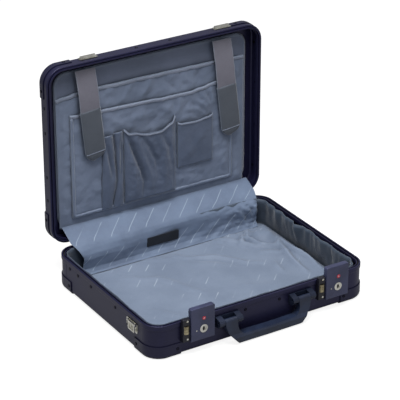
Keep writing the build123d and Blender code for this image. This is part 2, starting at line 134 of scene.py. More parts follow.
softbox("overhead", (-0.3, -0.3, 1.9), 1.1, 40)
softbox("front", (0.3, -2.3, 1.3), 1.2, 4)
world = bpy.data.worlds.new("studio")
world.use_nodes = True
world.node_tree.nodes["Background"].inputs["Color"].default_value = (1, 1, 1, 1)
world.node_tree.nodes["Background"].inputs["Strength"].default_value = 0.33
bpy.context.scene.world = world

# %% [markdown]
# ## Shader arithmetic
# A procedural finish is mostly sums of noises and stripes. A small class wraps one
# socket, so that such a sum is written as a Python expression and adds its Math nodes.

# %% One socket with arithmetic
class Tone:
    """An output socket of a material; + - * and the named helpers add nodes."""

    def __init__(self, tree, socket=None):
        self.tree = tree
        self.socket = socket

    def node(self, kind, settings=None, sockets=None, out=0):
        made = self.tree.nodes.new(kind)
        for key, setting in (settings or {}).items():
            setattr(made, key, setting)
        for key, given in (sockets or {}).items():
            if isinstance(given, Tone):
                self.tree.links.new(given.socket, made.inputs[key])
            else:
                made.inputs[key].default_value = given
        return Tone(self.tree, made.outputs[out])

    def math(self, operation, first, second=0.0):
        return self.node("ShaderNodeMath", {"operation": operation}, {0: first, 1: second})

    def __add__(self, other):
        return self.math("ADD", self, other)

    def __sub__(self, other):
        return self.math("SUBTRACT", self, other)

    def __rsub__(self, other):
        return self.math("SUBTRACT", other, self)

    def __mul__(self, other):
        return self.math("MULTIPLY", self, other)

    __radd__ = __add__
    __rmul__ = __mul__

    def step(self, low, high):
        """0 below low, 1 above high, smooth between."""
        ranged = {"interpolation_type": "SMOOTHSTEP"}
        return self.node("ShaderNodeMapRange", ranged, {"Value": self, "From Min": low, "From Max": high})

    def mix(self, dark, light):
        """A colour between two, with this as the share of the second."""
        return self.node("ShaderNodeMix", {"data_type": "RGBA"}, {0: self, 6: dark, 7: light}, out=2)

    def moved(self, scale=(1, 1, 1), turn=(0, 0, 0)):
        """These coordinates scaled and turned."""
        return self.node("ShaderNodeMapping", {}, {"Vector": self, "Rotation": turn, "Scale": scale})

    def noise(self, scale, detail=3.0, rough=0.5):
        """Noise between 0 and 1 over these coordinates."""
        sockets = {"Vector": self, "Scale": scale, "Detail": detail, "Roughness": rough}
        return self.node("ShaderNodeTexNoise", {}, sockets)

    def occlusion_shade(self, reach):
        """Ambient occlusion, for painting shade: 1 in the open, falling towards 0 where surfaces come close
        together.
        """
        return self.node("ShaderNodeAmbientOcclusion", {"samples": 8}, {"Distance": reach}, out="AO")

    def bend(self):
        """0.5 on flat cloth, more on a ridge and less in a crease."""
        return self.node("ShaderNodeNewGeometry", out="Pointiness")

    def axis(self, index):
        """One coordinate: 0 is X, 1 is Y."""
        return self.node("ShaderNodeSeparateXYZ", {}, {0: self}, out=index)


def srgb(text):
    """A colour written as six hex digits, made linear."""
    parts = [int(text[i:i + 2], 16) / 255 for i in (0, 2, 4)]
    return tuple(p / 12.92 if p <= 0.04045 else ((p + 0.055) / 1.055) ** 2.4 for p in parts) + (1.0,)


def finish(name, colour, roughness=0.5, height=None, bump=0.3, relief=0.001, **constants):
    """A Principled material from colour, roughness and height tones."""
    made = bpy.data.materials[name]
    tone = Tone(made.node_tree)
    shader = made.node_tree.nodes["Principled BSDF"]
    varying = {"Base Color": colour, "Roughness": roughness}
    if height is not None:
        relief_sockets = {"Height": height, "Strength": bump, "Distance": relief}
        varying["Normal"] = tone.node("ShaderNodeBump", {}, relief_sockets)
    for key, given in varying.items():
        if isinstance(given, Tone):
            made.node_tree.links.new(given.socket, shader.inputs[key])
        else:
            shader.inputs[key].default_value = given
    for key, value in constants.items():
        shader.inputs[key.replace("_", " ")].default_value = value
    return made


def start(name, source="Object"):
    """A new material, and its coordinates."""
    made = bpy.data.materials.new(name)
    made.use_nodes = True
    return Tone(made.node_tree).node("ShaderNodeTexCoord", out=source)


print("shader helpers ready")

# %% [markdown]
# ## Metal finishes
# The frames are extruded aluminium, anodised satin navy: the colour is even, but the
# drawing of the metal leaves a faint grain, and handling leaves soft cloudy patches.
# The guards are stamped from the same sheet, a little darker and smoother.

# %% Anodised navy
def anodised(name, dark, light, roughness):
    place = start(name)
    grain = place.moved(scale=(1, 1, 14)).noise(90, 4, 0.6)
    cloud = place.noise(7, 3)
    fine = place.noise(900, 2)
    colour = (cloud * 0.5 + grain * 0.5).step(0.3, 0.7).mix(srgb(dark), srgb(light))
    # Painted shade: seams and corners where parts meet are darkened nearly to black by ambient occlusion.
    colour = place.occlusion_shade(0.004).step(0.25, 0.7).mix(srgb("08080e"), colour)
    rough = roughness + (cloud - 0.5) * 0.16 + (grain - 0.5) * 0.12
    return finish(name, colour, rough, fine * 0.6 + grain * 0.4, 0.12, 0.0004, Metallic=0.4)


navy = anodised("navy_anodised", "1e1e3a", "272749", 0.34)
navy_guard = anodised("navy_guard", "1e1e37", "272745", 0.33)
print("made", navy.name, navy_guard.name)

# %% [markdown]
# Small fittings: chrome for the catches, rings and keys, plated steel inside the
# hinges, dull brass number wheels, dark rivets. A trace of smudging and fine brushing
# keeps each of them from looking perfectly even.

# %% Bright and plated metals
def metal(name, dark, light, roughness, spread=0.12, scale=60):
    place = start(name)
    smudge = place.noise(scale, 4, 0.6)
    brush = place.moved(scale=(1, 12, 1)).noise(260, 2)
    colour = smudge.step(0.3, 0.7).mix(srgb(dark), srgb(light))
    rough = roughness + (smudge - 0.5) * spread + (brush - 0.5) * spread
    return finish(name, colour, rough, brush, 0.08, 0.0002, Metallic=1.0)


chrome = metal("chrome", "c9c8c0", "f2f1ea", 0.16)
steel = metal("plated_steel", "8d8d92", "b4b4ba", 0.34)
brass = metal("wheel_brass", "8a8168", "c9bf9e", 0.3)
rivet_dark = metal("rivet_dark", "1c1c26", "2a2a38", 0.38)
print("made", chrome.name, steel.name, brass.name, rivet_dark.name)

# %% [markdown]
# The handle is moulded nylon with a fine leathery grain, and the lock covers are
# powder coated: an orange-peel bump and a slightly lighter slate colour.

# %% Plastics, paint and rubber
def grained(name, dark, light, roughness, cell, bump, **constants):
    place = start(name)
    cells = place.node("ShaderNodeTexVoronoi", {"feature": "SMOOTH_F1"}, {"Vector": place, "Scale": cell})
    cloud = place.noise(25, 4, 0.6)
    colour = cloud.step(0.35, 0.65).mix(srgb(dark), srgb(light))
    rough = roughness + (cloud - 0.5) * 0.12
    return finish(name, colour, rough, cells + cloud * 0.3, bump, 0.0003, **constants)


nylon = grained("handle_nylon", "182034", "1f2a42", 0.42, 900, 0.25)
bracket_paint = grained("bracket_paint", "1d2436", "262e44", 0.36, 1200, 0.15, Metallic=0.3)
cover_paint = grained("cover_paint", "3a3e58", "444866", 0.38, 1400, 0.2, Metallic=0.2)
lock_black = grained("lock_black", "0f0f18", "181824", 0.4, 1200, 0.15)
rubber = grained("seal_rubber", "0b0b0c", "151517", 0.7, 700, 0.3)
board = grained("stiff_board", "2c2f36", "3a3e47", 0.85, 500, 0.4)
leather = grained("label_leather", "0d0e12", "1b1d24", 0.5, 1500, 0.6)
print("made", nylon.name, cover_paint.name, lock_black.name)

# %% [markdown]
# Each CAD node now gets its finish, by its whole name or by how its name starts.

# %% Put the finishes on the CAD nodes
def wear(nodes, material):
    for name in nodes:
        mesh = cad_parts[name].data
        mesh.materials.clear()
        mesh.materials.append(material)


def starting(*words):
    return [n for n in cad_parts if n.startswith(words)]


wear(["base_frame", "lid_frame", "base_panel", "lid_panel"], navy)
wear(starting("base_guard", "lid_guard"), navy_guard)
wear(["base_rivets", "lid_rivets"], rivet_dark)
wear(starting("hinge_", "handle_pins", "latch_pins", "wheel_axles", "frame_splice"), steel)
wear(starting("lid_catch", "key_", "reset_", "strap_lug", "strap_ring"), chrome)
wear(starting("number_wheel"), brass)
wear(["handle"], nylon)
wear(starting("handle_bracket"), bracket_paint)
wear(starting("lock_cover"), cover_paint)
wear(starting("lock_chassis"), lock_black)
wear(["rim_seal"], rubber)
wear(["base_floor_board"], board)
print("nodes with a finish:", sum(1 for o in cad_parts.values() if o.data.materials[0]))

# %% [markdown]
# ## Cloth
# The lining is a smooth woven polyester, blue-grey with a slight sheen. Rows of short
# light dashes are woven into it. The weave itself is fine, about 0.7 mm, so it goes
# in the bump; cloudy noise gives the uneven dye and the softness.
# The dashes follow the cloth, so each piece has its own UV map in metres.

# %% The woven cloth
def cloth(name, dark, light, dashes=None, thread=0.0007, roughness=0.62, fold_shade_colour="323b4a", fold_highlight_colour="98a5ba"):
    uv = start(name, "UV")
    # A wave texture of scale 1 repeats every 0.314 m, so this makes one band per thread.
    weave = {"Vector": uv, "Scale": 0.314 / thread}
    warp = uv.node("ShaderNodeTexWave", {"bands_direction": "X"}, weave)
    weft = uv.node("ShaderNodeTexWave", {"bands_direction": "Y"}, weave)
    cloud = uv.noise(14, 5, 0.55)
    slub = uv.moved(scale=(1, 18, 1)).noise(160, 2)
    shade = cloud * 0.7 + slub * 0.3
    colour = shade.step(0.32, 0.68).mix(srgb(dark), srgb(light))
    if dashes:
        tilted = uv.moved(turn=(0, 0, dashes["turn"]))
        u, v = tilted.axis(0), tilted.axis(1)
        across_dash = (u + v * dashes["lean"]) * (1 / dashes["pitch"]) + dashes["shift"]
        along_dash = v * (1 / dashes["row"]) + dashes["rise"]
        near = u.math("ABSOLUTE", u.math("FRACT", across_dash) - 0.5) * dashes["pitch"]
        high = u.math("ABSOLUTE", u.math("FRACT", along_dash) - 0.5) * dashes["row"]
        line = 1 - near.step(0.0004, 0.0011)
        part = 1 - high.step(dashes["long"] * 0.42, dashes["long"] * 0.5)
        worn = uv.noise(11, 2).step(*dashes["worn"])
        colour = (line * part * worn * 0.6).mix(colour, srgb(dashes["pale"]))
    # Painted shade: where other surfaces come close, in crevices and behind pockets and straps, the cloth is
    # darkened towards near black.
    nook_shade = uv.occlusion_shade(0.012)
    colour = (1 - (1 - nook_shade) * 0.8).mix(srgb("1a1f29"), colour)
    # Painted shade and painted highlight: concave folds are darkened and ridges lightened, by their
    # curvature.
    bend = uv.bend()
    colour = bend.step(0.42, 0.495).mix(srgb(fold_shade_colour), colour)
    colour = (bend.step(0.51, 0.6) * 0.45).mix(colour, srgb(fold_highlight_colour))
    rough = roughness + (slub - 0.5) * 0.1
    height = warp * 0.5 + weft * 0.5 + slub * 0.8 + cloud
    return finish(name, colour, rough, height, 0.25, 0.0004,
                  Sheen_Weight=0.35, Sheen_Roughness=0.4, Specular_IOR_Level=0.35)


floor_dashes = {"turn": math.radians(26), "lean": -0.344, "pitch": 0.031, "row": 0.058, "long": 0.026,
                "shift": 0.48, "rise": 0.22, "pale": "bcc8d6", "worn": (0.44, 0.64)}
gusset_dashes = {"turn": 0.0, "lean": 1.0, "pitch": 0.037, "row": 0.06, "long": 0.038,
                 "shift": 0.095, "rise": 0.0, "pale": "b4c2d2", "worn": (0.3, 0.5)}
lining = cloth("lining_cloth", "707d92", "7d8a9f", floor_dashes, fold_shade_colour="566276")
gusset_cloth = cloth("gusset_cloth", "64728a", "71819a", gusset_dashes, fold_shade_colour="4c586b")
# The walls are the same lining cloth; this darker copy is painted shade for the inside of the tub.
shaded_wall_cloth = cloth("shaded_wall_cloth", "2f3947", "3a4553", fold_shade_colour="1b222c", fold_highlight_colour="566374")
# A little darker than the pocket cloth, as painted shade under the overhang of the lid frame.
board_cloth = cloth("board_cloth", "5e677b", "697288")
pocket_cloth = cloth("pocket_cloth", "667288", "77839a")
# A smoother, more satiny copy of the pocket cloth for the pen slots, pleated and flat pockets; its darker
# colour is painted shade.
shaded_pleat_cloth = cloth("shaded_pleat_cloth", "4b566b", "5d687e", roughness=0.52, fold_shade_colour="202734", fold_highlight_colour="7c8aa0")
hem_tape = cloth("hem_tape", "737b8e", "838b9e", thread=0.001)
webbing = cloth("strap_webbing", "6c6b77", "7a7985", thread=0.0016)
pad_cloth = cloth("strap_pad", "474d57", "545a64", thread=0.0022)
print("made", lining.name, gusset_cloth.name, pocket_cloth.name)

# %% [markdown]
# A piece of cloth starts as a flat grid. Each of its points gets a share across and
# a share up (0 to 1), and a small function says where that point lies. Folds are
# ridges along short paths, which fade out at their ends. Solidify gives the thickness
# of the real cloth.

# %% Folds and sheets
def ridge(x, z, path, width, height):
    """How far a fold lifts the cloth at a point, in millimetres."""
    here = Vector((x, z))
    points = [Vector(p) for p in path]
    total = sum((b - a).length for a, b in zip(points, points[1:]))
    run, nearest, share = 0.0, 1e9, 0.0
    for a, b in zip(points, points[1:]):
        leg = b - a
        t = clip((here - a).dot(leg) / leg.length_squared)
        gap = (here - a - leg * t).length
        if gap < nearest:
            nearest, share = gap, (run + t * leg.length) / total
        run += leg.length
    if nearest > 3 * width:
        return 0.0
    return height * math.exp(-(nearest / width) ** 2) * math.sin(math.pi * min(max(share, 0.02), 0.98)) ** 0.6


def folded(x, z, folds):
    return sum(ridge(x, z, *fold) for fold in folds)


def rumple(x, z, size, height, seed=0.0):
    """Gentle unevenness of soft cloth."""
    return height * noise.fractal(Vector((x / size, z / size, seed)), 0.9, 2.0, 3)


def draw_in(x, z, half, corner):
    """Move a point of a rectangle's corner in onto a quarter circle."""
    over = Vector((abs(x) - (half[0] - corner), abs(z) - (half[1] - corner)))
    if over.x > 0 and over.y > 0:
        drawn = over.normalized() * max(over)
        x = math.copysign(half[0] - corner + drawn.x, x)
        z = math.copysign(half[1] - corner + drawn.y, z)
    return x, z


def sheet(name, columns, rows, place, cut, material, body, thick=1.0):
    """Cloth whose points lie where place(u, v) says, in millimetres."""
    bm = bmesh.new()
    uvs = bm.loops.layers.uv.new("cloth")
    bmesh.ops.create_grid(bm, x_segments=columns, y_segments=rows, size=0.5)
    for face in bm.faces:
        for loop in face.loops:
            loop[uvs].uv = ((loop.vert.co.x + 0.5) * cut[0], (loop.vert.co.y + 0.5) * cut[1])
    for vert in bm.verts:
        vert.co = at(*place(vert.co.x + 0.5, vert.co.y + 0.5))
    piece = placed(name, bm, material)
    piece.data.shade_smooth()
    solid = piece.modifiers.new("thickness", "SOLIDIFY")
    solid.thickness, solid.offset = thick / 1000, -1
    if body:
        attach(piece, body)
    print(name, "points", len(piece.data.vertices))
    return piece


def along(pairs, x):
    """The height at x of a smooth line through (x, height) pairs."""
    for (xa, a), (xb, b) in zip(pairs, pairs[1:]):
        if x <= xb:
            t = clip((x - xa) / (xb - xa))
            t = t * t * (3 - 2 * t)
            return a + (b - a) * t
    return pairs[-1][1]


def blend_line(points, share):
    """The point that lies a share of the way along a line of points."""
    spots = [Vector(p) for p in points]
    steps = [(b - a).length for a, b in zip(spots, spots[1:])]
    want = share * sum(steps)
    for a, b, length in zip(spots, spots[1:], steps):
        if want <= length or b == spots[-1]:
            return a.lerp(b, min(want / length, 1))
        want -= length


print("cloth helpers ready")

# %% [markdown]
# ## The tub lining
# The floor and the four walls of the base are one tub of cloth, glued to a board. At
# the back right it is pushed up by the gusset, so it lies there in creases and one
# round bump. In front of the gusset's end the cloth lies a little higher, as a low step
# that the end is tucked against. The grid's corners are drawn in to the rounded corners
# of the case.

# %% Floor creases
floor_folds = [
    ([(-4, 131), (12, 104), (30, 95), (60, 80), (81, 55), (99, 30), (123, 15)], 6.0, 4.4),
    ([(6, 112), (36, 84), (66, 62), (84, 30)], 9.0, -2.6),
    ([(-127, 96), (-98, 78), (-68, 60), (-54, 28), (-40, -4), (-18, -36)], 8.0, 2.6),
    ([(196, 78), (184, 35), (175, -2), (171, -35), (172, -62)], 5.5, 7.5),
    ([(203, 84), (201, 36), (206, -6), (201, -60)], 4.5, 6.5),
    ([(100, 140), (128, 104), (147, 72), (172, 50)], 5.0, 5.2),
    ([(146, 10), (137, -12), (134, -40)], 6.0, 3.4),
    ([(150, 128), (137, 104), (126, 92)], 4.5, 6.0),
    ([(168, 140), (150, 108), (153, 84), (160, 66), (180, 58), (200, 70)], 5.0, 7.5),
    ([(186, 20), (160, 44), (140, 52)], 6.0, 3.0),
    ([(-147, -22), (-123, -56), (-103, -83)], 8.0, 2.0),
    ([(20, -20), (60, -50), (110, -70)], 14.0, 2.0),
    ([(-60, 140), (-20, 118), (10, 112)], 10.0, 2.0),
]
bump_place, bump_size, bump_height = Vector((181, 100)), 21.0, 12.0
floor_z, wall_top = 8.9, 63.6
half_x, half_y, corner = 213.6, 161.1, 23.6
seam_y, seam_width, seam_rise = 140.5, 2.0, 2.4
edge_fade = 6.0
wall_steps = 7


def floor_point(u, v):
    x, y = draw_in((2 * u - 1) * half_x, (2 * v - 1) * half_y, (half_x, half_y), corner)
    lift = folded(x, y, floor_folds)
    lift += bump_height * math.exp(-((Vector((x, y)) - bump_place).length / bump_size) ** 4)
    # The creases are deepest at the back right.
    back = clip((y - 60) / 70) * clip((x - 60) / 90)
    lift += abs(rumple(x, y, 26, 4.0, 2.0)) * back + 0.5 + rumple(x, y, 60, 0.6)
    lift += seam_rise * clip((seam_y - y) / seam_width)
    inside = min(half_x - abs(x), half_y - abs(y))
    return x, y, floor_z + lift * clip(inside / edge_fade)


tub = sheet("tub_lining", 150, 118, floor_point, (0.427, 0.322), lining, None, 1.2)

# %% [markdown]
# The border of the floor is extruded up in seven steps to make the walls. They bulge
# inwards a little between top and bottom, the most at the right, where they are loose.

# %% Raise the walls
bm = bmesh.new()
bm.from_mesh(tub.data)
uvs = bm.loops.layers.uv["cloth"]
rim = [e for e in bm.edges if e.is_boundary]
for step in range(1, wall_steps + 1):
    grown = bmesh.ops.extrude_edge_only(bm, edges=rim)["geom"]
    new_verts = [g for g in grown if isinstance(g, bmesh.types.BMVert)]
    rim = [g for g in grown if isinstance(g, bmesh.types.BMEdge)]
    for vert in new_verts:
        x, y = (vert.co.x - middle.x) * 1000, (vert.co.y - middle.y) * 1000
        z = floor_z + (wall_top - floor_z) * step / wall_steps
        loose = clip((x - 60) / 120)
        creased = abs(rumple((x + y) * 0.5 + z, z * 1.4, 26, 1.4 + 4.0 * loose, 5.0))
        bulge = creased * math.sin(math.pi * step / wall_steps)
        vert.co = at(x, y, z)
        vert.co -= Vector((x, y, 0)).normalized() * bulge / 1000
    for face in [g for g in grown if isinstance(g, bmesh.types.BMFace)]:
        face.material_index = 1
        for loop in face.loops:
            loop[uvs].uv = (loop.vert.co.x + loop.vert.co.y, loop.vert.co.z)
bmesh.ops.recalc_face_normals(bm, faces=bm.faces)
if sum(f.normal.z for f in bm.faces if f.material_index == 0) < 0:
    bmesh.ops.reverse_faces(bm, faces=bm.faces)
bm.to_mesh(tub.data)
bm.free()
# The walls wear the darker copy of the lining, as painted shade.
tub.data.materials.append(shaded_wall_cloth)
tub.data.shade_smooth()
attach(tub, "base")
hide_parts("base_lining")
print("tub faces:", len(tub.data.polygons))

# %% [markdown]
# ## The hinge gusset
# A loose apron of the same cloth joins the lid's lining to the floor of the base. It
# leaves the board's lower edge, falls over the two rims, goes down inside the back
# wall and runs out on the floor. It is one sheet, shaped as it lies with the lid open,
# and attached to neither body.

# %% Shape of the gusset
gusset_tight = [
    (200.0, 88.5), (190.0, 83.5), (181.0, 78.6), (172.0, 73.8), (163.6, 69.0), (158.0, 64.5),
    (154.8, 58.5), (154.6, 50.0), (156.0, 38.0), (156.4, 26.0), (153.0, 16.5), (147.0, 11.4), (142.0, 10.0),
]
gusset_slack = [
    (200.0, 88.5), (190.0, 83.5), (181.0, 78.6), (172.0, 73.8), (163.6, 69.0), (157.0, 64.0),
    (151.5, 57.5), (147.5, 49.0), (146.5, 40.0), (149.5, 29.0), (151.5, 19.0), (147.0, 12.0), (142.0, 10.0),
]
slackness = [(-190, 0.9), (-150, 1.0), (-90, 0.7), (-30, 0.35), (30, 0.0), (90, 0.1), (200, 0.3)]
gusset_run = 115
gusset_folds = [
    ([(70, 0.42), (100, 0.47), (150, 0.47), (196, 0.42)], 9.0, -3.4),
    ([(150, 0.55), (166, 0.70), (178, 0.95)], 4.0, 4.2),
    ([(166, 0.52), (182, 0.66), (190, 0.9)], 4.0, 4.6),
    ([(180, 0.48), (194, 0.60), (198, 0.85)], 3.5, 4.6),
    ([(-20, 0.98), (40, 0.8), (90, 0.62)], 12.0, 3.0),
    ([(40, 0.98), (85, 0.82), (130, 0.66)], 9.0, 3.0),
    ([(-150, 0.92), (-120, 0.8), (-80, 0.7)], 9.0, 2.2),
    ([(100, 0.98), (120, 0.86), (150, 0.8)], 6.0, 3.0),
]
gusset_creases = [([(x, share * gusset_run) for x, share in path], width, height)
                  for path, width, height in gusset_folds]


def gusset_point(u, v):
    # The sheet is narrower towards the floor, and crumples there at the right.
    left = -193 + 16 * clip((v - 0.35) / 0.3)
    right = 206 - 8 * clip((v - 0.3) / 0.3)
    x = left + (right - left) * u
    loose = along(slackness, x)
    y, z = blend_line(gusset_tight, v).lerp(blend_line(gusset_slack, v), loose)
    s = v * gusset_run
    lift = folded(x, s, gusset_creases)
    crumple = clip((x - 110) / 60) * clip((v - 0.42) / 0.15)
    lift += rumple(x, s, 26, 1.2, 3.0) + abs(rumple(x, s, 80, 1.4, 8.0))
    lift += abs(rumple(x, s, 20, 5.5, 1.0)) * crumple
    held = min(v / 0.06, 1) * min((1 - v) / 0.05, 1)
    return x, y - lift * 0.8 * held, z + lift * 0.4 * held


gusset = sheet("hinge_gusset", 140, 60, gusset_point, (0.399, 0.115), gusset_cloth, None, 0.9)
rounder = gusset.modifiers.new("rounded", "SUBSURF")
rounder.levels = rounder.render_levels = 1
at(0, 165, 67)
at(0, 183, 79)
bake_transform(gusset)
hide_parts("gusset_base", "gusset_lid")

# %% [markdown]
# A small blank label of black leather stands before the gusset, at the back wall.

# %% The blank label
label_x = span("label")[0]
label_lean, label_rise = (152.4, 150.8), (27.5, 46.5)


def patch(name, x, y, z, depth, material, body, radius=2.0):
    """A small plate that leans between two depths, its corners and edges rounded."""
    bm = bmesh.new()
    bmesh.ops.create_cube(bm, size=1.0)
    for vert in bm.verts:
        share = vert.co.z + 0.5
        lean = y[0] + (y[1] - y[0]) * share
        across = x[0] + (x[1] - x[0]) * (vert.co.x + 0.5)
        vert.co = at(across, lean + vert.co.y * depth, z[0] + (z[1] - z[0]) * share)
    gaps = {e: e.verts[0].co - e.verts[1].co for e in bm.edges}
    through = [e for e, gap in gaps.items()
               if abs(gap.y) > 0.0004 and abs(gap.z) < 0.001 and abs(gap.x) < 0.001]
    bevelled = {"profile": 0.5, "affect": "EDGES", "material": -1}
    bmesh.ops.bevel(bm, geom=through, offset=radius / 1000, segments=5, **bevelled)
    sharp = [e for e in bm.edges if e.calc_face_angle(0) > 0.9]
    bmesh.ops.bevel(bm, geom=sharp, offset=depth / 4000, segments=2, **bevelled)
    piece = placed(name, bm, material)
    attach(piece, body)
    return piece


label = patch("blank_label", label_x, label_lean, label_rise, 1.2, leather, "base")
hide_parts("label")
print("label", [round(v) for v in label_x])

# %% [markdown]
# ## The organiser in the lid
# A stiff board covered in cloth fills the lid. In front of it hang a full-width file
# pocket, a smaller panel pocket with a bound edge, and on that two pen slots, a
# pleated pocket and a flat one. Each is its own sheet, so it can stand off, sag and
# crease the way its fullness makes it.

# %% The covered board
board_x, board_y, board_z = span("organiser_board")
board_corner = 24.0


def board_point(u, v):
    half = ((board_x[1] - board_x[0]) / 2, (board_z[1] - board_z[0]) / 2)
    mid = (board_x[0] + half[0], board_z[0] + half[1])
    x, z = draw_in((2 * u - 1) * half[0], (2 * v - 1) * half[1], half, board_corner)
    inside = min(min(u, 1 - u) * 2 * half[0], min(v, 1 - v) * 2 * half[1])
    roll = 3.0 * max(1 - inside / 4, 0) ** 2
    return mid[0] + x, board_y[0] + roll + rumple(x, z, 40, 0.35, 1.0), mid[1] + z


panel = sheet("organiser_panel", 100, 76, board_point, (0.402, 0.303), board_cloth, "lid", 1.2)
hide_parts("organiser_board")

# %% [markdown]
# Hems, bindings and stitching are narrow strips that follow a path. A hem's path runs
# across its pocket, just below the top.

# %% A strip of tape along a path
def band(name, columns, path, width, profile, material, body, thick=0.8):
    """A narrow strip of tape: path(u) gives x, y, z; profile(share across) lifts it forward."""
    run = [Vector(path(i / 40)) for i in range(41)]
    length = sum((b - a).length for a, b in zip(run, run[1:])) / 1000

    def point(u, v):
        here = Vector(path(u))
        ahead = Vector(path(min(u + 0.01, 1))) - Vector(path(max(u - 0.01, 0)))
        across = Vector((-ahead.z, 0, ahead.x)).normalized() * width * (v - 0.5)
        spot = here + across
        return spot.x, spot.y - profile * math.sin(math.pi * v) ** 0.7, spot.z

    return sheet(name, columns, 6, point, (length, width / 1000), material, body, thick)


def hem_path(point, up, forward, lower):
    """The line of a hem: a share up a pocket, brought forward and down."""
    def path(u):
        x, y, z = point(u, up)
        return x, y - forward, z - lower
    return path


print("tape helpers ready")

# %% [markdown]
# The file pocket is the widest. Its top edge stands off the board, and short folds
# fall from it.

# %% The file pocket
file_top = [
    (-197, 340), (-186, 343), (-153, 346.5), (-111, 348.5), (-6, 348), (60, 347), (150, 346), (197, 343),
]
file_x, file_y, file_z = span("file_pocket")
file_folds = [
    ([(-95, 345), (-88, 326), (-90, 306)], 6, 1.8), ([(-40, 347), (-54, 326), (-66, 306)], 6, 2.0),
    ([(-2, 340), (-14, 322), (-32, 304)], 7, 2.2), ([(22, 346), (30, 328), (52, 306)], 6, -1.8),
    ([(64, 345), (70, 325), (90, 305)], 6, 1.8), ([(100, 343), (96, 325), (104, 308)], 6, -1.6),
    ([(-186, 330), (-182, 270), (-184, 200)], 6, 1.6), ([(-180, 340), (-190, 290), (-176, 250)], 5, -1.4),
    ([(180, 335), (186, 270), (182, 190)], 5, 1.8), ([(189, 330), (181, 260), (188, 150)], 5, -1.5),
]


def file_point(u, v):
    x = file_x[0] + (file_x[1] - file_x[0]) * u
    z = file_z[0] + (along(file_top, x) - file_z[0]) * v
    held = min(u / 0.03, (1 - u) / 0.03, v / 0.05, 1)
    stand = 2.4 * v ** 3 * math.sin(math.pi * clip(u)) ** 0.5
    lift = folded(x, z, file_folds) + rumple(x, z, 22, 1.7, 4.0)
    return x, file_y[1] - 0.8 - (stand + 0.8 + lift) * held, z


file_pocket = sheet("file_pocket_cloth", 132, 86, file_point, (0.394, 0.262), pocket_cloth, "lid", 0.9)
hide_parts("file_pocket")
file_edge = hem_path(file_point, 0.99, 0.9, 1.5)
file_hem = band("file_pocket_hem", 132, file_edge, 5.5, 0.5, hem_tape, "lid")

# %% [markdown]
# The panel pocket has a hem along its top and a binding down both sides and along the
# bottom. Its creases gather around the smaller pockets that are sewn on it.

# %% The panel pocket
panel_x, panel_y, panel_z = span("panel_pocket")
panel_top = [
    (-171, 306), (-150, 304), (-107, 304), (-9, 302), (20, 299.5),
    (81, 299), (99, 301.5), (132, 306), (171, 313),
]
panel_folds = [
    ([(120, 250), (104, 268), (84, 280)], 5, 3.2), ([(122, 258), (112, 276), (100, 292)], 4.5, 3.0),
    ([(112, 246), (92, 260), (68, 266)], 6, 2.6), ([(128, 262), (126, 278), (121, 296)], 4, 2.4),
    ([(46, 262), (58, 274), (52, 292)], 6, 2.0), ([(44, 260), (30, 272), (12, 284)], 6, 2.0),
    ([(-52, 256), (-40, 272), (-12, 278)], 9, 2.6), ([(-10, 250), (2, 262), (18, 272)], 8, -2.4),
    ([(-58, 262), (-84, 276), (-98, 292)], 7, 1.8), ([(70, 142), (92, 138), (108, 128)], 8, 2.2),
    ([(62, 130), (78, 122), (92, 112)], 7, 1.8), ([(56, 146), (60, 136), (56, 120)], 5, 1.8),
    ([(150, 180), (154, 150), (148, 120)], 8, 1.6), ([(136, 300), (140, 240), (137, 190)], 6, 1.4),
]


def panel_point(u, v):
    x = panel_x[0] + (panel_x[1] - panel_x[0]) * u
    z = panel_z[0] + (along(panel_top, x) - panel_z[0]) * v
    held = min(u / 0.03, (1 - u) / 0.03, v / 0.04, 1)
    stand = 3.2 * v ** 4 * math.sin(math.pi * clip(u)) ** 0.5
    lift = folded(x, z, panel_folds) + rumple(x, z, 20, 1.5, 6.0)
    return x, panel_y[1] - 1.0 - (stand + 1.0 + lift * 0.9) * held, z


panel_pocket = sheet("panel_pocket_cloth", 136, 84, panel_point, (0.342, 0.2), pocket_cloth, "lid", 0.9)
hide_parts("panel_pocket")


def panel_border(u):
    """Down the left side, along the bottom and up the right side."""
    corners = [(-167.5, 299), (-167.5, 108), (-165, 105.5), (165, 105.5), (167.5, 108), (167.5, 305)]
    x, z = blend_line(corners, u)
    return x, panel_y[0] + 1.4, z


panel_edge = hem_path(panel_point, 0.99, 0.9, 1.5)
panel_hem = band("panel_pocket_hem", 136, panel_edge, 5.5, 0.6, hem_tape, "lid")
binding = band("panel_pocket_binding", 240, panel_border, 6.5, 1.6, pocket_cloth, "lid")

# %% [markdown]
# Two narrow slots for pens stand side by side, rounded out, each with a tuck down it.

# %% The pen slots
pens_z = span("pen_pockets")[2]
left_side, right_side = [(105, -111), (256, -107)], [(105, -66), (256, -66)]
between = [(105, -88), (161, -79.5), (210, -82), (256, -86)]
short_of, past = [(z, x - 1) for z, x in between], [(z, x + 1) for z, x in between]
left_tuck, right_tuck = [(-102, 240), (-98, 222), (-88, 163)], [(-72, 240), (-70, 205), (-72, 150)]
left_cut, right_cut = (0.029, 0.148), (0.022, 0.151)


def pen_point(low, high, top, tuck):
    """A slot between two seams, each a list of (height, x), with one tuck pressed in."""
    def point(u, v):
        z = pens_z[0] + (top + 2.5 * math.sin(math.pi * u) - pens_z[0]) * v
        a, b = along(low, z), along(high, z)
        x = a + (b - a) * u
        round_out = math.sin(math.pi * u) ** 0.7 * (0.35 + 0.65 * v ** 0.5)
        pinch = ridge(x, z, tuck, 4.0, 5.0)
        return x, panel_y[0] - 0.5 - 7.0 * round_out + pinch + rumple(x, z, 14, 0.6, 7.0), z
    return point


pen_left = sheet("pen_slot_left", 30, 64, pen_point(left_side, short_of, 250, left_tuck),
                 left_cut, shaded_pleat_cloth, "lid", 0.8)
pen_right = sheet("pen_slot_right", 30, 64, pen_point(past, right_side, 253, right_tuck),
                  right_cut, shaded_pleat_cloth, "lid", 0.8)
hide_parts("pen_pockets")

# %% [markdown]
# The cloth of this pocket is wider than its place, so it falls in deep slanting waves.

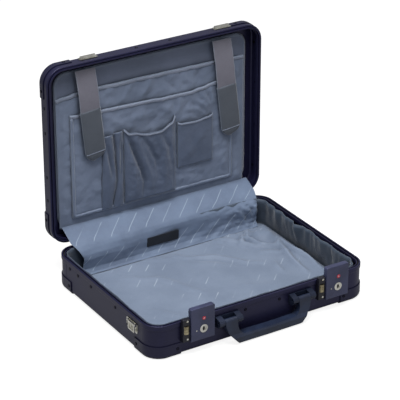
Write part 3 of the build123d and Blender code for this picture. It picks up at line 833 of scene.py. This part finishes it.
# %% The pleated pocket
pleat_z = span("pleated_pocket")[2]
pleat_low, pleat_high = -64, 45
pleat_out = 6.8
pleat_top = [(-64, 256), (-55, 248), (-11, 238), (9, 238), (36, 249), (45, 260)]
pleat_waves = [
    ([(-66, 256), (-50, 222), (-41, 196), (-30, 168), (-23, 142), (-26, 110)], 4.5, -6.0),
    ([(-56, 254), (-37, 222), (-28, 196), (-16, 168), (-10, 142), (-10, 115)], 5.5, 2.4),
    ([(-32, 240), (-12, 210), (2, 180), (6, 140)], 5.0, -3.4),
    ([(6, 236), (16, 204), (20, 170), (18, 120)], 7.0, 2.6),
    ([(10, 236), (30, 200), (36, 160), (38, 120)], 5.0, -2.8),
    ([(-52, 200), (-44, 160), (-42, 120)], 6.0, 2.0),
]


def pleat_point(u, v):
    x = pleat_low + (pleat_high - pleat_low) * u
    z = pleat_z[0] + (along(pleat_top, x) - pleat_z[0]) * v
    round_out = min(u / 0.09, 1) ** 0.6 * min((1 - u) / 0.1, 1) ** 0.6 * min(v / 0.05, 1)
    out = (pleat_out + folded(x, z, pleat_waves) + rumple(x, z, 18, 1.0, 9.0)) * round_out
    return x, panel_y[0] - 0.4 - max(out, 0), z


pleated = sheet("pleated_pocket_cloth", 140, 84, pleat_point, (0.135, 0.145), shaded_pleat_cloth, "lid", 0.9)
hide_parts("pleated_pocket")
pleat_edge = hem_path(pleat_point, 0.985, 0.7, 0.8)
pleat_hem = band("pleated_pocket_hem", 90, pleat_edge, 3.2, 0.4, hem_tape, "lid", 0.6)

# %% [markdown]
# Beside it, a flat pocket is stretched, with only two shallow folds.

# %% The flat pocket
flat_x = span("flat_pocket")[0]
flat_bottom = 150
flat_top = [(49, 243), (58, 240), (91, 239), (113, 242), (127, 245)]
flat_folds = [([(60, 160), (90, 196), (120, 226)], 10, 1.4), ([(70, 236), (84, 190), (88, 160)], 10, -1.2)]


def flat_point(u, v):
    x = flat_x[0] + (flat_x[1] - flat_x[0]) * u
    z = flat_bottom + (along(flat_top, x) - flat_bottom) * v
    edge = min(u / 0.025, (1 - u) / 0.04, v / 0.03, 1) ** 0.5
    out = 3.4 + 1.8 * v * math.sin(math.pi * u) + folded(x, z, flat_folds) + rumple(x, z, 25, 0.5, 11.0)
    return x, panel_y[0] - 0.4 - out * max(edge, 0.15), z


flat = sheet("flat_pocket_cloth", 60, 70, flat_point, (0.08, 0.094), shaded_pleat_cloth, "lid", 0.9)
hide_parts("flat_pocket")
flat_edge = hem_path(flat_point, 0.985, 0.7, 0.8)
flat_hem = band("flat_pocket_hem", 60, flat_edge, 3.2, 0.4, hem_tape, "lid", 0.6)

# %% [markdown]
# ## The hold-down straps
# Two straps hang from the top of the lid: a woven tape, and on its lower half a
# padded, ribbed piece with a rounded end and one line of stitching across.

# %% Straps
tape_tuck = 14
pad_end = 18
stitch_rise = 14
strap_runs = {"left": (-141.5, 391, -123.5, 213, 40, 312), "right": (142, 388, 165, 194, 40, 296)}
for side, (x_top, z_top, x_low, z_low, width, join) in strap_runs.items():
    strap_y = span("strap_" + side)[1]

    def centre(z):
        share = (z - z_low) / (z_top - z_low)
        return x_low + (x_top - x_low) * share

    def tape_point(u, v):
        z = join - tape_tuck + (z_top - join + tape_tuck) * v
        bow = 2.2 * math.sin(math.pi * v)
        return centre(z) + width * (u - 0.5), strap_y[1] - 0.6 - bow + rumple(u * 40, z, 20, 0.3, 2.0), z

    def pad_point(u, v):
        z = z_low + (join - z_low) * v
        end = min((z - z_low) / pad_end, 1)
        half = (width / 2 + 0.8) * max(1 - (1 - end) ** 2, 0.03) ** 0.5
        across = (u - 0.5) * 2
        puff = 1.9 * (1 - abs(across) ** 6) * min(v / 0.08, (1 - v) / 0.03, 1)
        return centre(z) + half * across, strap_y[0] + 1.2 - puff, z + across * 2.2

    def stitch(u):
        x, y, z = pad_point(0.04 + 0.92 * u, stitch_rise / (join - z_low))
        return x, y - 0.25, z

    tall = (z_top - join + tape_tuck) / 1000
    tape_cut = (0.038, tall)
    pad_cut = (0.04, (join - z_low) / 1000)
    tape = sheet("strap_tape_" + side, 24, 60, tape_point, tape_cut, webbing, "lid", 1.1)
    pad = sheet("strap_pad_" + side, 32, 70, pad_point, pad_cut, pad_cloth, "lid", 1.6)
    print("strap", side, "length", round(z_top - z_low))
    line = band("strap_stitch_" + side, 40, stitch, 1.6, 0.3, hem_tape, "lid", 0.4)
    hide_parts("strap_" + side)

# %% [markdown]
# ## Small things on the locks
# Each cover carries a small round enamel dot, and in each key plug sits a near black disc, painted shade for
# the depth of the keyhole.
# Each wheel housing has two bright rivets. They are turned shapes, made from circles.

# %% Turned pieces
def turned(name, x, y, z, rings, material, body, stretch=1.0):
    """A disc facing the front: rings are (radius, height) pairs from the rim to the middle."""
    bm = bmesh.new()
    bmesh.ops.create_circle(bm, cap_ends=True, radius=rings[0][0], segments=40)
    face = bm.faces[:][0]
    for (radius, height), (before, _) in zip(rings[1:], rings):
        grown = bmesh.ops.extrude_discrete_faces(bm, faces=[face])
        face = grown["faces"][0]
        for vert in face.verts:
            share = radius / before
            vert.co.x *= share
            vert.co.y *= share
            vert.co.z = height
    for vert in bm.verts:
        vert.co = at(x + vert.co.x, y - vert.co.z, z + vert.co.y * stretch)
    bmesh.ops.recalc_face_normals(bm, faces=bm.faces)
    piece = placed(name, bm, material)
    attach(piece, body)
    return piece


red = grained("dot_enamel", "b02038", "c02c44", 0.25, 2000, 0.03, Coat_Weight=0.6)
pale = grained("dot_centre", "e4b0b8", "f0c4ca", 0.3, 2000, 0.03)
# Painted shade: a near black disc stands for the shade deep in each keyhole.
dark = grained("keyhole_shade", "08080a", "101014", 0.6, 1500, 0.2)
dot_rings = [(3.4, -0.1), (3.4, 0.35), (3.0, 0.6)]
centre_rings = [(1.3, -0.1), (1.3, 0.1), (1.1, 0.2)]
keyhole_rings = [(2.1, -0.3), (2.1, 0.5), (1.9, 0.6)]
rivet_rings = [(2.0, -0.2), (2.0, 0.25), (1.5, 0.75), (0.8, 0.95)]
dot_z, dot_dx = 65.5, 0.6
column_dx, column_front = 2.2, -178.4
for side in ("left", "right"):
    key_x, _, key_z = span("key_cylinder_" + side)
    front = span("lock_cover_" + side)[1][0]
    x, z = sum(key_x) / 2, sum(key_z) / 2
    latch = "latch_" + side
    turned("enamel_dot_" + side, x + dot_dx, front, dot_z, dot_rings, red, latch)
    turned("enamel_centre_" + side, x + dot_dx, front - 0.6, dot_z, centre_rings, pale, latch)
    turned("keyhole_" + side, x, front + 0.1, z, keyhole_rings, dark, "key_" + side, 1.9)
    column = sum(span("number_wheel_" + side + "_1")[0]) / 2
    for label_name, height in (("top", 66.5), ("low", 32.0)):
        turned("column_rivet_" + label_name + "_" + side, column + column_dx, column_front, height,
               rivet_rings, chrome, "base")
print("dots and keyholes made")

# %% [markdown]
# ## The floor
# The floor is a wide pale sheet that is not part of the object. It glows more to the
# camera than to the case, so it looks white and lights the case only a little.

# %% Floor
bm = bmesh.new()
bmesh.ops.create_grid(bm, x_segments=1, y_segments=1, size=9)
spot = start("floor_paper")
seen = spot.node("ShaderNodeLightPath", out=0)
paper = finish("floor_paper", spot.noise(3, 2).mix((0.27, 0.27, 0.27, 1), (0.3, 0.3, 0.3, 1)), 0.9)
glow = seen.mix((0.1, 0.1, 0.1, 1), (0.85, 0.85, 0.85, 1))
paper.node_tree.links.new(glow.socket, paper.node_tree.nodes["Principled BSDF"].inputs["Emission Color"])
paper.node_tree.nodes["Principled BSDF"].inputs["Emission Strength"].default_value = 1.0
ground = placed("studio_floor", bm, paper)
print("floor made:", ground.name)
